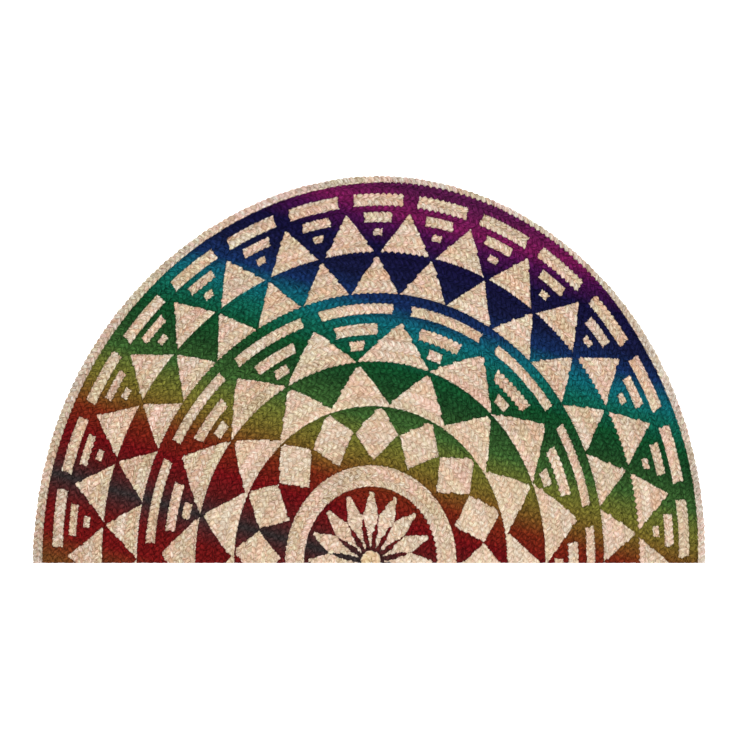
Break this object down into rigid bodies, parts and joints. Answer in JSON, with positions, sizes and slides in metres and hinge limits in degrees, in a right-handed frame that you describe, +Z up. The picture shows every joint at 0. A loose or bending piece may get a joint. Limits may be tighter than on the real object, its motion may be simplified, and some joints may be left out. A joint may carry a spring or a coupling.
{
  "type": "half-round doormat",
  "caption": "Flat half-round doormat of plaited jute rows coiled round a hub at the middle of its straight edge, with an undyed outermost plait along the arc.",
  "frame": {"origin": "middle of the bounding box at its base, on the mat's underside", "axes": "+X along the straight edge, +Y from the straight edge towards the top of the arc, +Z up from the floor"},
  "size_m": [0.7, 0.4025, 0.0072],
  "materials": {
    "dyed_jute": "matt plaited jute with a dyed ornament in rainbow colours on undyed fibre",
    "undyed_jute": "matt plaited jute in its natural straw colour"
  },
  "bodies": {
    "root": {"braided_field": "dyed_jute", "rim_braid": "undyed_jute"}
  },
  "joints": []
}
